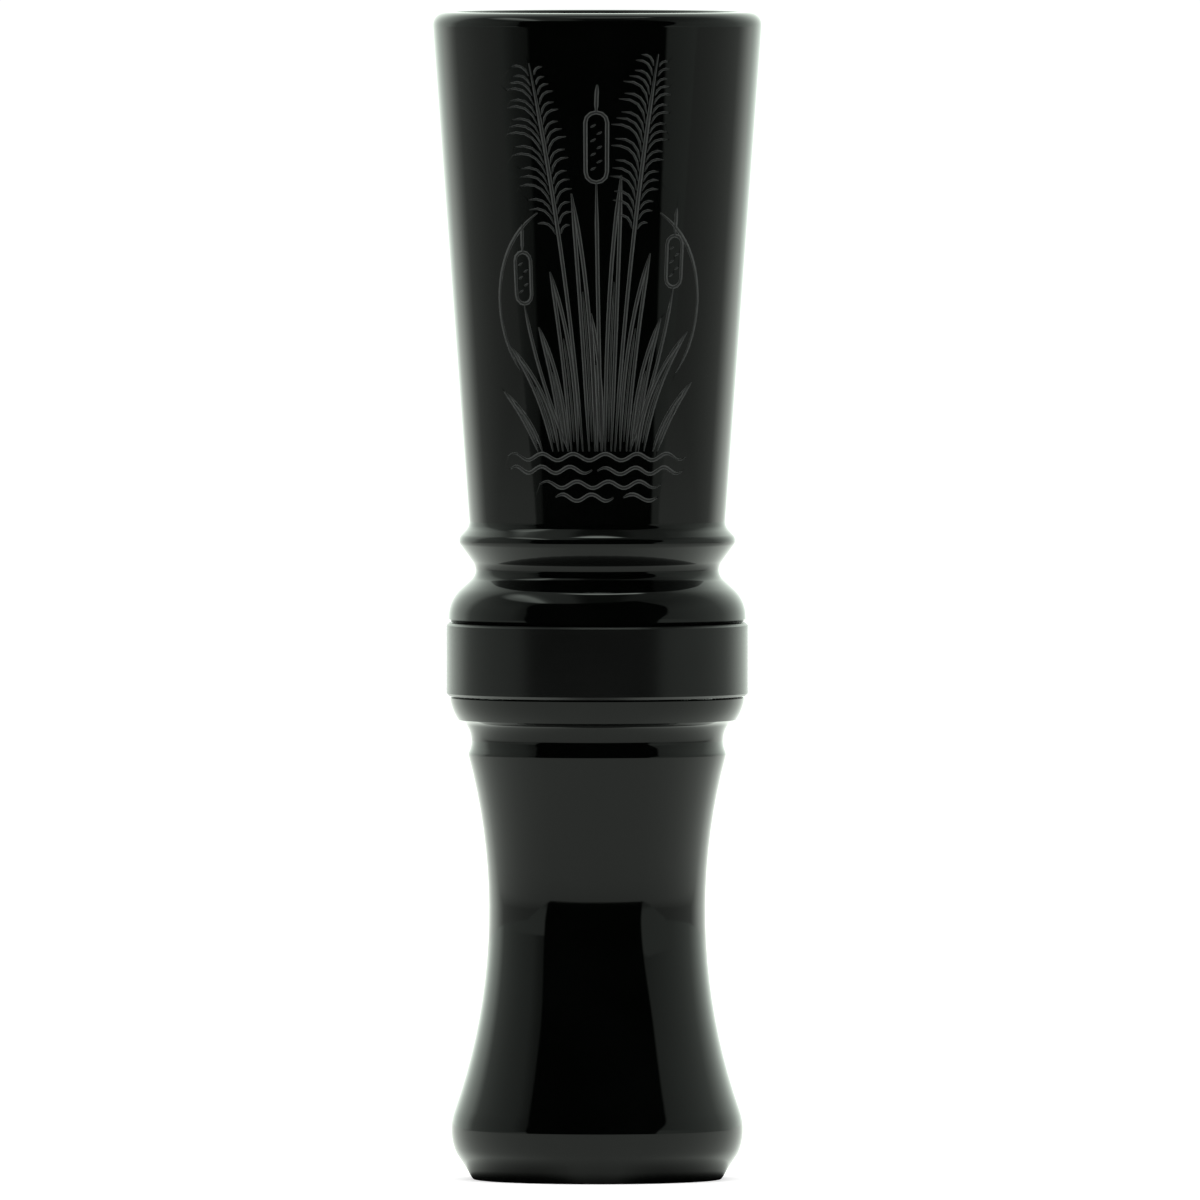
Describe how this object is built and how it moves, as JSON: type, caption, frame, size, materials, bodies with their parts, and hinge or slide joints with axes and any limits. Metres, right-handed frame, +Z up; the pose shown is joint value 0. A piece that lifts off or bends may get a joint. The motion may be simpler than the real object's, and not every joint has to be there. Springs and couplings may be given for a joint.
{
  "type": "waterfowl call",
  "caption": "Turned waterfowl call with flared barrel, metal band and waisted insert holding a tone board, reed and wedge.",
  "frame": {"origin": "centre of the exhaust end's flat face, which the call stands on", "axes": "+Z up the call's axis to the mouthpiece, -Y to the front, which the reed faces"},
  "size_m": [0.0358, 0.0358, 0.127],
  "materials": {
    "black_acrylic": "polished turned acrylic",
    "black_anodised": "satin black anodised, fine turning lines",
    "seal_rubber": "moulded nitrile",
    "board_plastic": "moulded, fine matt texture",
    "wedge_plastic": "natural acetal",
    "reed_film": "frosted translucent film"
  },
  "bodies": {
    "insert": {"insert": "black_acrylic"},
    "tenon_rings": {"tenon_o_ring_lower": "seal_rubber", "tenon_o_ring_upper": "seal_rubber"},
    "barrel": {"barrel": "black_acrylic", "band": "black_anodised"},
    "guts_ring": {"guts_o_ring": "seal_rubber"},
    "tone_board": {"tone_board": "board_plastic"},
    "wedge": {"wedge": "wedge_plastic"},
    "reed": {"reed": "reed_film"}
  },
  "joints": [
    {"name": "barrel_twist", "type": "hinge", "parent": "insert", "child": "tenon_rings", "pos_m": [0, 0, 0.063], "axis": [0, 0, 1], "continuous": true},
    {"name": "barrel_pull", "type": "slide", "parent": "tenon_rings", "child": "barrel", "axis": [0, 0, 1], "range_m": [0, 0.07]},
    {"name": "guts_pull", "type": "slide", "parent": "insert", "child": "guts_ring", "axis": [0, 0, 1], "range_m": [0, 0.03]},
    {"name": "guts_twist", "type": "hinge", "parent": "guts_ring", "child": "tone_board", "pos_m": [0, 0, 0.056], "axis": [0, 0, 1], "continuous": true},
    {"name": "wedge_pull", "type": "slide", "parent": "tone_board", "child": "wedge", "axis": [0, 0, 1], "range_m": [0, 0.014]},
    {"name": "reed_flex", "type": "hinge", "parent": "wedge", "child": "reed", "pos_m": [0, -0.00052, 0.08352], "axis": [-1, 0, 0], "range_deg": [-1.5, 3], "stiffness_Nm_per_rad": 0.002, "deforming": ["reed"]}
  ]
}
